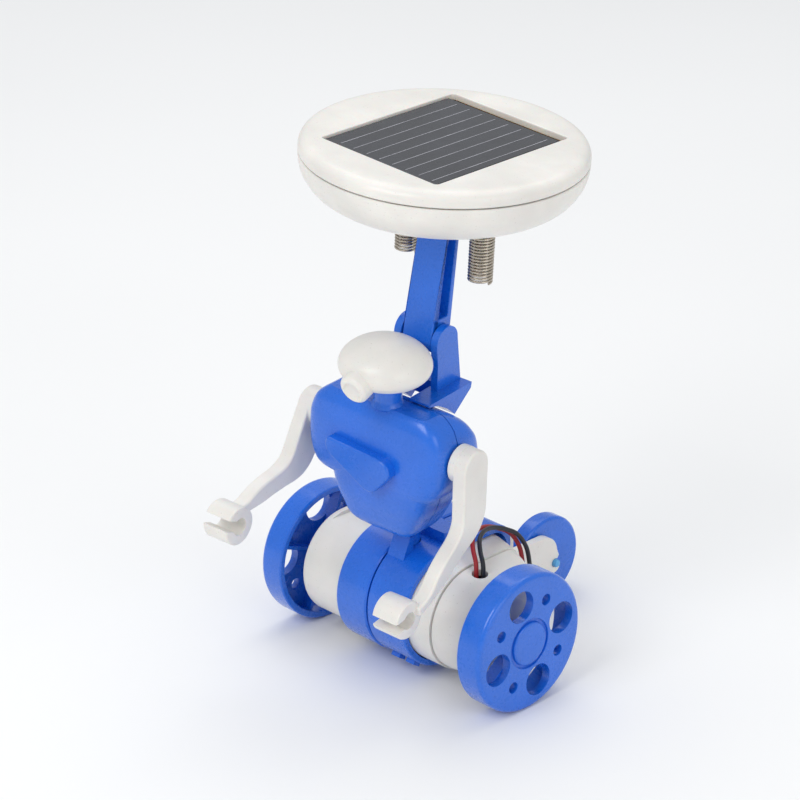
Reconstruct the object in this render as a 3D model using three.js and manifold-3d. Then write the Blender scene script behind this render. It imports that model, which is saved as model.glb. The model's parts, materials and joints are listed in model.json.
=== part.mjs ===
// Solar powered two wheel robot kit: a geared barrel chassis on two wheels with a small tail wheel,
// and an upper body that carries a head, two swinging arms and a round solar panel on a tilting post.
// Millimetres, +Z up. The robot faces -Y, its left hand side is +X, and Z = 0 is the ground.
import * as THREE from 'three';
import { mergeVertices } from 'three/addons/utils/BufferGeometryUtils.js';
import Module from 'manifold-3d';

const wasm = await Module();
wasm.setup();

// ---------------------------------------------------------------- driving dimensions
const GAP = 0.3;                   // air between two resting pieces
const RUN = 0.05;                  // radial clearance of a turning fit

const WHEEL_R = 17;                // drive wheel radius, and height of the main axle
const WHEEL_T = 6.9;               // drive wheel thickness
const WHEEL_FACE_X = 36.25;        // outboard face of each drive wheel
const AXLE_R = 1.2;
const AXLE_HALF = 34.6;

const BARREL_R = 13.2;             // round front half of the gear housing
const BARREL_BACK = 19.5;          // flat back of the gear housing, behind the axle
const BARREL_WALL = 1.5;
const BARREL_LEFT_END = -26;
const CAP_START = 17.2;            // seam between the right barrel and its end cap
const CAP_END = 27.8;
const RING_START = -12;            // blue clamp ring around the housing
const RING_SPLIT = -2;
const RING_END = 10;
const RING_WALL = 1.7;

const REAR_R = 11;                 // tail wheel
const REAR_Y = 42.8;
const REAR_HALF_T = 2;
const REAR_AXLE_R = 1;

const MODULE = 0.4;                // gear tooth module
const MOTOR_R = 6;
const MOTOR_Y = 10.5;              // motor axis, behind the main axle

const LEAN = THREE.MathUtils.degToRad(3.5);   // upper body leans to its left in the waist socket
const TURN = THREE.MathUtils.degToRad(7);     // and is turned a little to its right
const WAIST = new THREE.Vector3(0, -3, 30);   // top of the waist socket

const SHOULDER_Y = -6.8;           // shoulder axis, from the waist
const SHOULDER_Z = 31.2;
const TORSO_X = -1.5;              // chest and arms stand a little to the right of the waist
const ARM_PIN_R = 1.6;
const TORSO_SPLIT_Y = SHOULDER_Y;
const ARM_LOW_ANGLE = 0;                                    // left arm hangs low
const ARM_HIGH_ANGLE = THREE.MathUtils.degToRad(-29);       // right arm is swung forward
const ARM_IN_X = 19.4;
const ARM_OUT_X = 23.1;

const NECK_Y = -10.6;               // head turns about its neck
const HEAD_AHEAD = 1.5;            // dome centre, in front of the neck
const TORSO_TOP_Z = 41.5;
const PIVOT_Y = 2.4;               // tilt pin of the panel post
const PIVOT_Z = 54;
const POST_HALF_W = 4.05;
const EAR_IN = 4.35;
const EAR_OUT = 6.2;
const PIN_R = 1.2;
const PIN_HALF = 5.5;              // the tilt pin ends inside the ears
const FOOT_IN = 3.4;
const FOOT_OUT = 9.2;

const DISC_Y = 5.8;                // round solar head
const DISC_R = 32.5;
const DISC_BOTTOM_Z = 86;
const DISC_SEAM_Z = 97.2;
const DISC_TOP_Z = 100.8;
const WINDOW_X = 35.2;             // opening over the solar cell
const WINDOW_Y = 42.2;
const SPRING_R = 2.9;
const SPRING_SPAN = 11.4;          // spring terminals, either side of the post
const SPRING_BACK = 1.5;           // and a little behind the middle of the panel
const SPRING_FOOT_Z = 69.4;
const PLUG_R = 1.6;                  // plug of the post, in the dish

const LEAD_R = 0.55;
const LEAD_OFFSET_X = 0.75;         // each lead, from the middle of the pair
const LEAD_OFFSET_Y = 0.4;

// ---------------------------------------------------------------- materials
const plastic = (color, roughness) => new THREE.MeshStandardMaterial({ color, roughness, metalness: 0 });
const metal = (color, roughness) => new THREE.MeshStandardMaterial({ color, roughness, metalness: 1 });
const BLUE = plastic(0x1f6fd6, 0.28);
const WHITE = plastic(0xe8e4de, 0.42);
const STEEL = metal(0xb9b7b2, 0.28);
const NICKEL = metal(0xa39c8e, 0.3);
const BRASS = metal(0xc9a45a, 0.35);
const CELL = plastic(0x23273a, 0.22);
const BOARD = plastic(0x9a7a3e, 0.5);
const RED = plastic(0xb5202a, 0.45);
const BLACK = plastic(0x17161a, 0.45);

// ---------------------------------------------------------------- solids
const toSolid = (source) => {
  const bare = source.clone();
  for (const name of Object.keys(bare.attributes)) {
    if (name !== 'position') bare.deleteAttribute(name);
  }
  const merged = mergeVertices(bare, 1e-4);
  const raw = merged.index.array;
  const corners = [];
  for (let i = 0; i < raw.length; i += 3) {
    const [a, b, c] = raw.slice(i, i + 3);
    if (a !== b && b !== c && c !== a) corners.push(a, b, c);
  }
  if (signedVolume(merged.attributes.position, corners) < 0) corners.reverse();
  return new wasm.Manifold(new wasm.Mesh({
    numProp: 3,
    vertProperties: new Float32Array(merged.attributes.position.array),
    triVerts: new Uint32Array(corners),
  }));
};

function signedVolume(position, corners) {
  const [a, b, c] = [new THREE.Vector3(), new THREE.Vector3(), new THREE.Vector3()];
  let volume = 0;
  for (let i = 0; i < corners.length; i += 3) {
    a.fromBufferAttribute(position, corners[i]);
    b.fromBufferAttribute(position, corners[i + 1]);
    c.fromBufferAttribute(position, corners[i + 2]);
    volume += a.dot(b.cross(c)) / 6;
  }
  return volume;
}

const join = (first, ...rest) => rest.reduce((sum, next) => sum.add(next), first);
const cut = (first, ...rest) => rest.reduce((sum, next) => sum.subtract(next), first);

function piece(name, material, body) {
  const raw = body.getMesh();
  const geometry = new THREE.BufferGeometry();
  geometry.setAttribute('position', new THREE.BufferAttribute(new Float32Array(raw.vertProperties), 3));
  geometry.setIndex(new THREE.BufferAttribute(new Uint32Array(raw.triVerts), 1));
  geometry.computeVertexNormals();
  const mesh = new THREE.Mesh(geometry, material);
  mesh.name = name;
  return mesh;
}

// Turned solid about the X axis from [x, radius] points that start and end on the axis or close up.
function turnX(points, segments = 28) {
  const profile = points.map(([x, r]) => new THREE.Vector2(r, x));
  return toSolid(new THREE.LatheGeometry(profile, segments).rotateZ(-Math.PI / 2));
}

// Turned solid about the Z axis from [z, radius] points.
function turnZ(points, segments = 28) {
  const profile = points.map(([z, r]) => new THREE.Vector2(r, z));
  return toSolid(new THREE.LatheGeometry(profile, segments).rotateX(Math.PI / 2));
}

const rodX = (x0, x1, r, segments = 12) => turnX([[x0, 0], [x0, r], [x1, r], [x1, 0]], segments);
const rodZ = (z0, z1, r, segments = 12) => turnZ([[z0, 0], [z0, r], [z1, r], [z1, 0]], segments);
const tubeX = (x0, x1, outer, inner, segments = 12) =>
  turnX([[x0, inner], [x0, outer], [x1, outer], [x1, inner], [x0, inner]], segments);

function block(x0, x1, y0, y1, z0, z1) {
  const box = new THREE.BoxGeometry(x1 - x0, y1 - y0, z1 - z0);
  return toSolid(box.translate((x0 + x1) / 2, (y0 + y1) / 2, (z0 + z1) / 2));
}

// A shape drawn in (y, z), extruded along X, with its edges rounded by `round`.
function plateX(shape, x0, x1, round = 0, curveSegments = 8) {
  const geometry = new THREE.ExtrudeGeometry(shape, {
    depth: x1 - x0 - 2 * round,
    bevelEnabled: round > 0,
    bevelThickness: round,
    bevelSize: round,
    bevelOffset: -round,
    bevelSegments: 1,
    curveSegments,
  });
  const basis = new THREE.Matrix4().makeBasis(
    new THREE.Vector3(0, 1, 0), new THREE.Vector3(0, 0, 1), new THREE.Vector3(1, 0, 0));
  return toSolid(geometry.applyMatrix4(basis).translate(x0 + round, 0, 0));
}

// A shape drawn in (x, z), extruded from y0 towards the front (-Y), with rounded edges.
function plateY(shape, y0, depth, round = 0, curveSegments = 8) {
  const geometry = new THREE.ExtrudeGeometry(shape, {
    depth: depth - 2 * round,
    bevelEnabled: round > 0,
    bevelThickness: round,
    bevelSize: round,
    bevelOffset: -round,
    bevelSegments: 1,
    curveSegments,
  });
  const basis = new THREE.Matrix4().makeBasis(
    new THREE.Vector3(1, 0, 0), new THREE.Vector3(0, 0, 1), new THREE.Vector3(0, -1, 0));
  return toSolid(geometry.applyMatrix4(basis).translate(0, y0 - round, 0));
}

const outline = (points) => new THREE.Shape(points.map(([u, v]) => new THREE.Vector2(u, v)));

// A closed solid through a stack of rings with equal point counts.
function loft(rings) {
  const count = rings[0].length;
  const mean = (ring) => ring.reduce((sum, p) => sum.add(p), new THREE.Vector3()).divideScalar(count);
  const points = [...rings.flat(), mean(rings[0]), mean(rings[rings.length - 1])];
  const bottom = points.length - 2;
  const top = points.length - 1;
  const last = (rings.length - 1) * count;
  const index = [];
  for (let i = 0; i < count; i += 1) {
    const next = (i + 1) % count;
    for (let level = 0; level < rings.length - 1; level += 1) {
      const low = level * count;
      const high = low + count;
      index.push(low + i, low + next, high + next, low + i, high + next, high + i);
    }
    index.push(bottom, next, i, top, last + i, last + next);
  }
  const geometry = new THREE.BufferGeometry().setFromPoints(points);
  geometry.setIndex(index);
  return toSolid(geometry);
}

const moved = (body, x, y, z) => body.translate([x, y, z]);
const spunX = (body, radians) => body.rotate([THREE.MathUtils.radToDeg(radians), 0, 0]);

// ---------------------------------------------------------------- drive wheels and main axle
const HUB_R = 5.3;
const HOLE_CIRCLE_R = 10.8;
const HOLE_R = 3.9;
const SMALL_HOLE_R = 1.4;
const WEB_T = 2.2;
const SPOKES = 4;
const RIB_OFFSET = THREE.MathUtils.degToRad(21);   // ribs stand between the holes
const QUARTER = Math.PI / 2;

function wheelBlank() {
  const face = WHEEL_FACE_X;
  return turnX([
    [face + 0.25, 0], [face + 0.25, HUB_R - 0.3], [face, HUB_R], [face - 0.7, HUB_R],
    [face - 0.7, HUB_R + 0.8], [face, HUB_R + 0.8],
    [face, WHEEL_R - 1.4], [face - 0.4, WHEEL_R - 0.4], [face - 1.4, WHEEL_R],
    [face - WHEEL_T, WHEEL_R], [face - WHEEL_T, WHEEL_R - 1.6],
    [face - WEB_T, WHEEL_R - 1.8], [face - WEB_T, 3.4], [face - 6.2, 3.2], [face - 6.2, AXLE_R + RUN],
    [face - 1.4, AXLE_R + RUN], [face - 1.4, 0],
  ], 32);
}

function driveWheel(phase) {
  const face = WHEEL_FACE_X;
  const hole = (angle, r, segments) =>
    moved(rodX(face - 4, face + 2, r, segments),
      0, HOLE_CIRCLE_R * Math.cos(angle), HOLE_CIRCLE_R * Math.sin(angle));
  let body = wheelBlank();
  for (let i = 0; i < SPOKES; i += 1) {
    const angle = phase + i * QUARTER;
    const rib = block(face - 5.2, face - WEB_T + 0.5, 3, WHEEL_R - 1.5, -0.5, 0.5);
    body = cut(body, hole(angle, HOLE_R, 14), hole(angle + QUARTER / 2, SMALL_HOLE_R, 8));
    body = join(body, spunX(rib, angle + RIB_OFFSET));
  }
  return moved(body, 0, 0, WHEEL_R);
}

function wheels() {
  const left = piece('wheel_left', BLUE, driveWheel(THREE.MathUtils.degToRad(16)));
  const right = piece('wheel_right', BLUE, driveWheel(0));
  right.rotation.z = Math.PI;
  return [left, right];
}

// ---------------------------------------------------------------- gear housing
// Section of the housing: round in front, flat above, below and behind. All rings have equal counts.
function housingRing(x, r, back, corner = 5) {
  const arc = (cy, cz, radius, from, to, steps) => {
    const points = [];
    for (let i = 0; i <= steps; i += 1) {
      const a = from + ((to - from) * i) / steps;
      points.push(new THREE.Vector3(x, cy + radius * Math.cos(a), cz + radius * Math.sin(a)));
    }
    return points;
  };
  return [
    ...arc(0, 0, r, QUARTER, 3 * QUARTER, 16),
    ...arc(back - corner, -r + corner, corner, -QUARTER, 0, 3),
    ...arc(back - corner, r - corner, corner, 0, QUARTER, 3),
  ];
}

const housingBody = (sections) => loft(sections.map(([x, r, back]) => housingRing(x, r, back)));

function housingLeft() {
  const end = BARREL_LEFT_END;
  const outer = housingBody([
    [end, BARREL_R - 0.7, BARREL_BACK - 0.7], [end + 0.7, BARREL_R, BARREL_BACK],
    [-GAP, BARREL_R, BARREL_BACK],
  ]);
  const inner = housingBody([
    [end + 1.6, BARREL_R - BARREL_WALL, BARREL_BACK - BARREL_WALL],
    [1, BARREL_R - BARREL_WALL, BARREL_BACK - BARREL_WALL],
  ]);
  const latchSlot = block(end + 2, end + 4.4, -6.5, 2.5, BARREL_R - 0.9, BARREL_R + 2);
  const bore = rodX(end - 1, end + 3, AXLE_R + RUN);
  return cut(moved(cut(outer, inner, latchSlot, bore), 0, 0, WHEEL_R), waistWell());
}

function housingRight() {
  const outer = housingBody([
    [GAP, BARREL_R, BARREL_BACK], [5, BARREL_R, BARREL_BACK], [RING_END, BARREL_R, 18.7],
    [CAP_START - GAP, BARREL_R, 16.6],
  ]);
  const inner = housingBody([
    [-1, BARREL_R - BARREL_WALL, BARREL_BACK - BARREL_WALL],
    [5, BARREL_R - BARREL_WALL, BARREL_BACK - BARREL_WALL],
    [RING_END, BARREL_R - BARREL_WALL, 18.7 - BARREL_WALL],
    [CAP_START + 1, BARREL_R - BARREL_WALL, 16.2 - BARREL_WALL],
  ]);
  return cut(moved(cut(outer, inner), 0, 0, WHEEL_R), waistWell());
}

const LEAD_HOLE_X = 20.8;
const LEAD_HOLE_Y = -0.6;

function housingCap() {
  const s = CAP_START;
  const outer = housingBody([
    [s, 12.7, 16.6], [20.2, 12.6, 15.4], [23, 12.2, 14], [25.4, 11, 12.2], [27.1, 9, 9.5], [CAP_END, 7, 7.5],
  ]);
  const inner = housingBody([
    [s - 1, 11.1, 15], [20.2, 11, 13.8], [23, 10.6, 12.4], [26.4, 8, 8.6],
  ]);
  const leadHole = moved(rodZ(6, 16, 1.9), LEAD_HOLE_X, LEAD_HOLE_Y, 0);
  const boss = rodX(CAP_END - 2, CAP_END + 0.8, 3, 16);
  const bore = rodX(CAP_END - 4, CAP_END + 2, AXLE_R + RUN);
  return moved(cut(join(cut(outer, inner), boss), bore, leadHole), 0, 0, WHEEL_R);
}

// Clamp ring in two halves. The left half has the front wedge of the waist socket, the right half
// has the block behind the waist post and the two snap teeth below.
function ringShell(x0, x1, wall, lip) {
  const outer = BARREL_R + GAP + wall;
  const back = BARREL_BACK + GAP + wall;
  return cut(
    housingBody([[x0, outer - lip, back - lip], [x0 + lip, outer, back],
      [x1 - lip, outer, back], [x1, outer - lip, back - lip]]),
    housingBody([[x0 - 1, BARREL_R + GAP, BARREL_BACK + GAP], [x1 + 1, BARREL_R + GAP, BARREL_BACK + GAP]]));
}

const WAIST_POST_R = 2.6;
const alongWaist = (body) => body.rotate([0, THREE.MathUtils.radToDeg(LEAN), 0]).translate(WAIST.toArray());
const waistHole = () => alongWaist(rodZ(-5, 8, WAIST_POST_R + 0.2, 16));
const waistWell = () => alongWaist(rodZ(-5, 4, WAIST_POST_R + 1.3, 16));

function ringLeft() {
  const shell = ringShell(RING_START, RING_SPLIT - GAP / 2, RING_WALL, 0.5);
  return cut(moved(shell, 0, 0, WHEEL_R), waistHole());
}

function ringRight() {
  const shell = ringShell(RING_SPLIT + GAP / 2, RING_END, RING_WALL - 0.25, 0.4);
  const foot = BARREL_R + GAP + 0.6;
  const wedge = plateX(outline([[-8.8, foot - 2.6], [-5, foot - 0.5], [-5, foot + 3.2], [-6, foot + 3.4]]), -1.6, 3.6);
  const backBlock = plateX(
    outline([[1.2, foot], [9.5, foot], [9.2, foot + 1.6], [6.5, foot + 3.2], [1.2, foot + 3.4]]), -1.4, 7.6);
  let body = join(shell, wedge, backBlock);
  for (const x of [0.6, 5.4]) {
    const tooth = block(x, x + 2.6, -1.1, 1.1, -BARREL_R - GAP - RING_WALL - 0.7, -BARREL_R - GAP - 0.5);
    body = join(body, spunX(tooth, THREE.MathUtils.degToRad(-32)));
  }
  return cut(moved(body, 0, 0, WHEEL_R), waistHole());
}

// ---------------------------------------------------------------- tail arm and tail wheel
const TAIL_FLANGE_Y = BARREL_BACK + GAP + RING_WALL + GAP;
const TAIL_ARM_X0 = 2.5;
const TAIL_ARM_X1 = 4.6;
const TAIL_SCREWS = [10.5, 23.5];

function tailArm() {
  const shape = new THREE.Shape();
  shape.moveTo(TAIL_FLANGE_Y, 9.6);
  shape.lineTo(35.5, 9.4);
  shape.lineTo(REAR_Y - 1.5, REAR_R - 2.6);
  shape.quadraticCurveTo(REAR_Y + 0.8, REAR_R - 2.9, REAR_Y + 1.6, REAR_R - 1.5);
  shape.lineTo(REAR_Y + 0.5, REAR_R - 1);
  shape.absarc(REAR_Y, REAR_R, REAR_AXLE_R + 0.15, -1.1, 0.9, true);
  shape.lineTo(REAR_Y + 1.3, REAR_R + 1.8);
  shape.absarc(38.6, 14.1, 4.8, 0.1, QUARTER, false);
  shape.lineTo(29, 18.9);
  shape.quadraticCurveTo(25.5, 18.9, TAIL_FLANGE_Y, 20.5);
  const arm = plateX(shape, TAIL_ARM_X0, TAIL_ARM_X1, 0, 4);
  let body = join(arm, block(-1.5, 8.6, TAIL_FLANGE_Y, TAIL_FLANGE_Y + 1.7, 7.6, 26.4));
  for (const z of TAIL_SCREWS) body = cut(body, screwBody(TAIL_FLANGE_Y + 1.7, z, RUN));
  return body;
}

// Small pan head screw that points forwards (-Y), with its head seated on the plane y = seat.
function screwBody(seat, z, grow = 0) {
  const shank = rodZ(-1.3, 0.2, 0.8 + grow, 12);
  const head = turnZ([[grow ? -0.02 : 0.03, 0], [grow ? -0.02 : 0.03, 1.7], [1, 1.2], [1, 0]], 12);
  const tall = grow ? shank : join(shank, head);
  return moved(tall.rotate([-90, 0, 0]), 6.4, seat, z);
}

function tailScrews() {
  return TAIL_SCREWS.map((z, i) =>
    piece(`tail_screw_${i ? 'upper' : 'lower'}`, STEEL, screwBody(TAIL_FLANGE_Y + 1.7, z)));
}

function rearWheel() {
  const t = REAR_HALF_T;
  return moved(turnX([
    [t, REAR_AXLE_R + RUN], [t, 1.5], [t + 0.3, 1.6], [t + 0.3, 2.3], [t, 2.4], [t, REAR_R - 0.7],
    [t - 0.7, REAR_R], [-t, REAR_R], [-t, REAR_R - 1.5], [t - 1.6, REAR_R - 1.6], [t - 1.6, 2.4],
    [-9.2, 2.1], [-9.2, REAR_AXLE_R + RUN], [t, REAR_AXLE_R + RUN],
  ]), 0, REAR_Y, REAR_R);
}

function rearAxle() {
  return moved(turnX([
    [-11.1, 0], [-10.8, 1.5], [-10.1, 2.4], [-9.5, 2.4], [-9.5, REAR_AXLE_R],
    [TAIL_ARM_X1 + 1, REAR_AXLE_R], [TAIL_ARM_X1 + 1, 0],
  ], 16), 0, REAR_Y, REAR_R);
}

// ---------------------------------------------------------------- motor and gear train
const AXLE_TEETH = 24;
const IDLER_LARGE_TEETH = 22;
const SMALL_TEETH = 8;
const pitchRadius = (teeth) => (MODULE * teeth) / 2;
const AXLE_TO_IDLER = pitchRadius(AXLE_TEETH) + pitchRadius(SMALL_TEETH);
const IDLER_TO_MOTOR = pitchRadius(IDLER_LARGE_TEETH) + pitchRadius(SMALL_TEETH);
const IDLER_Y = (AXLE_TO_IDLER ** 2 - IDLER_TO_MOTOR ** 2 + MOTOR_Y ** 2) / (2 * MOTOR_Y);
const IDLER_Z = Math.sqrt(AXLE_TO_IDLER ** 2 - IDLER_Y ** 2);
const IDLER_PIN_R = 0.8;

// Spur gear about X with slim trapezoid teeth; `phase` is the angle of one tooth from +Y.
function gear(teeth, x0, x1, phase, bore) {
  const pitch = (2 * Math.PI) / teeth;
  const r = pitchRadius(teeth);
  const root = r - 1.1 * MODULE;
  const tip = r + 0.7 * MODULE;
  const points = [];
  for (let i = 0; i < teeth; i += 1) {
    const middle = phase + i * pitch;
    for (const [radius, offset] of [[root, -0.27], [tip, -0.11], [tip, 0.11], [root, 0.27]]) {
      const a = middle + offset * pitch;
      points.push([radius * Math.cos(a), radius * Math.sin(a)]);
    }
  }
  return cut(plateX(outline(points), x0, x1), rodX(x0 - 1, x1 + 1, bore));
}

// Phase of a gear that meshes with another whose tooth stands at `phase`, along direction `line`.
const meshPhase = (phase, line, teeth, ownTeeth) =>
  line + Math.PI - (phase - line) * (teeth / ownTeeth) + Math.PI / ownTeeth;

function gearTrain() {
  const axleLine = Math.atan2(IDLER_Z, IDLER_Y);
  const motorLine = Math.atan2(-IDLER_Z, MOTOR_Y - IDLER_Y);
  const idlerBore = IDLER_PIN_R + RUN;
  const small = gear(SMALL_TEETH, -2.3, 1.2, meshPhase(0, axleLine, AXLE_TEETH, SMALL_TEETH), idlerBore);
  const large = gear(IDLER_LARGE_TEETH, -4.2, -2.2, 0, idlerBore);
  const pinionPhase = meshPhase(0, motorLine, IDLER_LARGE_TEETH, SMALL_TEETH);
  const pinion = gear(SMALL_TEETH, -4.8, -1.9, pinionPhase, 0.75 + RUN);
  const hubGear = join(gear(AXLE_TEETH, -1.6, 0.9, 0, AXLE_R + RUN), tubeX(0.8, 2, 2.4, AXLE_R + RUN));
  return [
    piece('axle_gear', WHITE, moved(hubGear, 0, 0, WHEEL_R)),
    piece('idler_gear', WHITE, moved(join(small, large), 0, IDLER_Y, WHEEL_R + IDLER_Z)),
    piece('motor_pinion', BRASS, moved(pinion, 0, MOTOR_Y, WHEEL_R)),
  ];
}

function motor() {
  const can = cut(turnX([
    [-22.5, 0], [-22.5, MOTOR_R - 0.6], [-21.9, MOTOR_R], [-7.4, MOTOR_R], [-6.8, MOTOR_R - 0.6],
    [-6.8, 2], [-6.2, 2], [-6.2, 0],
  ], 24), rodX(-30, 0, 0.75 + RUN));
  const flats = block(-30, 0, -MOTOR_R, MOTOR_R, -5, 5);
  const shaft = rodX(-23, -1.7, 0.75);
  return [
    piece('motor_can', NICKEL, moved(can.intersect(flats), 0, MOTOR_Y, WHEEL_R)),
    piece('motor_shaft', STEEL, moved(shaft, 0, MOTOR_Y, WHEEL_R)),
  ];
}

// Two bearing plates and the posts between them carry the axle, the idler pin and the motor nose.
function gearFrame() {
  const plate = (x0, x1) => plateX(outline([
    [-6, -5], [2, -11.1], [12, -11.1], [17.5, -6], [17.5, 6], [12, 11.1], [2, 11.1], [-6, 5],
  ]), x0, x1);
  const post = (y, z) => moved(rodX(-5.4, 3.1, 0.9, 10), 0, y, z);
  const body = cut(
    join(plate(-6.1, -5.3), plate(2.6, 3.4), post(12, 9), post(12, -9), post(-4, 6)),
    rodX(-9, 9, AXLE_R + RUN), moved(rodX(-9, -4, 2.1), 0, MOTOR_Y, 0),
    moved(rodX(-9, 9, IDLER_PIN_R + RUN), 0, IDLER_Y, IDLER_Z));
  return moved(body, 0, 0, WHEEL_R);
}

function chassisTrim() {
  const spacer = (x0, x1) => moved(tubeX(x0, x1, 2.4, AXLE_R + RUN), 0, 0, WHEEL_R);
  return [
    piece('main_axle', STEEL, moved(rodX(-AXLE_HALF, AXLE_HALF, AXLE_R), 0, 0, WHEEL_R)),
    piece('axle_spacer_left', WHITE, spacer(CAP_END + 1.1, WHEEL_FACE_X - 6.4)),
    piece('axle_spacer_right', WHITE, spacer(-(WHEEL_FACE_X - 6.4), BARREL_LEFT_END - 0.2)),
    piece('gear_frame', WHITE, gearFrame()),
    piece('idler_pin', STEEL, moved(rodX(-6.1, 3.4, IDLER_PIN_R), 0, IDLER_Y, WHEEL_R + IDLER_Z)),
  ];
}

// ---------------------------------------------------------------- leads
function lead(name, material, points) {
  const path = new THREE.CatmullRomCurve3(points.map(([x, y, z]) => new THREE.Vector3(x, y, z)), false, 'centripetal');
  const section = new THREE.Shape();
  section.absarc(0, 0, LEAD_R, 0, 2 * Math.PI);
  const geometry = new THREE.ExtrudeGeometry(section, { steps: 22, curveSegments: 4, extrudePath: path });
  return piece(name, material, toSolid(geometry));
}

const LEAD_ROUTE = [
  [20.8, -0.6, 24.5], [20.8, -0.6, 29], [20, 0, 31.8], [17.6, 1.6, 33.4], [15.6, 3.4, 34.8],
  [13.9, 6, 35.2], [12.6, 9.2, 34.8], [12, 12.6, 33.8], [12.2, 16, 32.2], [12.8, 19.2, 30],
  [13.6, 21.4, 26.2], [14.2, 22, 22], [14.6, 22.2, 17.5], [15, 22.8, 13], [15.4, 24.4, 9.6],
];
const RED_ROUTE = LEAD_ROUTE.map(([x, y, z]) => [x - LEAD_OFFSET_X, y - LEAD_OFFSET_Y, z]);
const BLACK_ROUTE = LEAD_ROUTE.map(([x, y, z]) => [x + LEAD_OFFSET_X, y + LEAD_OFFSET_Y, z]);

function tip(name, route) {
  const end = new THREE.Vector3(...route[route.length - 1]);
  const before = new THREE.Vector3(...route[route.length - 2]);
  const direction = end.clone().sub(before).normalize();
  const start = end.clone().addScaledVector(direction, GAP);
  const wire = rodZ(0, 5, 0.3, 10);
  const mesh = piece(name, BRASS, wire);
  mesh.position.copy(start);
  mesh.quaternion.setFromUnitVectors(new THREE.Vector3(0, 0, 1), direction);
  return mesh;
}

// ---------------------------------------------------------------- torso
// Rounded box section at height z: half width, front and back edge, drawn as a superellipse.
const SQUARENESS = 6.5;

function torsoRing([z, halfWidth, front, back, x = 0], shrink = 0) {
  const count = shrink ? 12 : 24;
  const middle = (front + back) / 2;
  const depth = (back - front) / 2 - shrink;
  const power = 2 / SQUARENESS;
  const ring = [];
  for (let i = 0; i < count; i += 1) {
    const a = (i / count) * 2 * Math.PI;
    const [c, s] = [Math.cos(a), Math.sin(a)];
    ring.push(new THREE.Vector3(
      x + Math.sign(c) * Math.abs(c) ** power * (halfWidth - shrink),
      middle + Math.sign(s) * Math.abs(s) ** power * depth, z));
  }
  return ring;
}

const CHEST = [
  [20.6, 14.4, -13.4, 1.4], [22, 16.8, -14.6, 2.8], [25, 18.4, -15.1, 3.6], [29, 19.1, -15.3, 3.8],
  [33.5, 19.1, -15.3, 2.8], [35.8, 18.7, -15.1, 1.6], [38.6, 17.4, -14.7, -0.8], [40.6, 15.2, -13.9, -4.4],
  [TORSO_TOP_Z, 13.8, -13, -7.4],
].map((level) => [...level, TORSO_X]);
const BELLY = [
  [8.4, 4.5, -8.6, -1], [9.2, 7.4, -11, 0], [11, 9.4, -12.6, 0.8], [14, 11, -13.4, 1.3],
  [17.5, 12.6, -14.2, 1.5], [23, 14, -14.8, 1.7],
];

function crest() {
  const shape = new THREE.Shape();
  shape.moveTo(-11.6, 31.4);
  shape.lineTo(3.4, 30.6);
  shape.quadraticCurveTo(7, 30, 6.4, 26.8);
  shape.lineTo(3, 22.6);
  shape.quadraticCurveTo(1.6, 21, -1, 22);
  shape.lineTo(-10.4, 27);
  shape.quadraticCurveTo(-13, 28.6, -11.6, 31.4);
  return plateY(shape, -14.6, 3.2, 0.7);
}

function torsoWhole() {
  const skin = join(loft(CHEST.map((level) => torsoRing(level))), loft(BELLY.map((level) => torsoRing(level))));
  const wall = 1.7;
  const chestRoom = loft([[22.6, 16.4, -14.2, 2], [26, 18.4, -15.1, 3.4], [33.8, 18.6, -15.1, 2],
    [38, 16, -13.6, -1.6]].map((level) => torsoRing([...level, TORSO_X], wall)));
  const bellyRoom = loft([[11.8, 9.2, -11.8, 0.6], [16, 11.6, -13.6, 1.2], [24, 13.6, -14.6, 1.6]]
    .map((level) => torsoRing(level, wall)));
  const shoulderBore = moved(rodX(-22, 22, ARM_PIN_R + 0.15), TORSO_X, SHOULDER_Y, SHOULDER_Z);
  const waistBore = rodZ(0, 13, WAIST_POST_R + 0.2, 16);
  return cut(join(skin, crest()), chestRoom, bellyRoom, shoulderBore, waistBore);
}

function torso() {
  const whole = torsoWhole();
  const front = whole.intersect(block(-30, 30, -30, TORSO_SPLIT_Y - 0.15, -5, 60));
  const back = whole.intersect(block(-30, 30, TORSO_SPLIT_Y + 0.15, 30, -5, 60));
  const neck = moved(
    turnZ([[-0.4, 0], [-0.4, 3.25], [5.8, 3.25], [5.8, 1.5], [8.2, 1.5], [8.2, 0]], 20), 0, NECK_Y, TORSO_TOP_Z);
  return [
    piece('torso_front', BLUE, join(front, neck)),
    piece('torso_back', BLUE, back),
    piece('waist_post', BLUE, join(rodZ(-2, 12, WAIST_POST_R, 16), rodZ(-3.2, -1.6, WAIST_POST_R + 0.8, 16))),
  ];
}

// ---------------------------------------------------------------- head
const SNOUT_DROOP = 20;            // degrees below level

function head() {
  const base = TORSO_TOP_Z + 5.8 + GAP;
  const dome = turnZ([
    [base, 0], [base, 6], [base + 0.7, 8.8], [base + 1.8, 10.3], [base + 2.7, 10.7], [base + 3.6, 10.6],
    [base + 5.6, 9.8], [base + 7.6, 8.2], [base + 9.2, 5.8], [base + 10.4, 3], [base + 10.8, 0],
  ], 28);
  const snout = turnZ([[0, 0], [0, 3.7], [13.2, 3.6], [13.9, 2.9], [13.9, 2.3], [13.4, 1.9], [13.4, 0]], 16)
    .rotate([90 + SNOUT_DROOP, 0, 0]);
  const socket = moved(rodZ(base - 1, base + 2.9, 1.8), 0, NECK_Y, 0);
  const body = moved(join(dome, moved(snout, 0, 1.2, base + 6)), 0, NECK_Y - HEAD_AHEAD, 0);
  return piece('head', WHITE, cut(body, socket));
}

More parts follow.
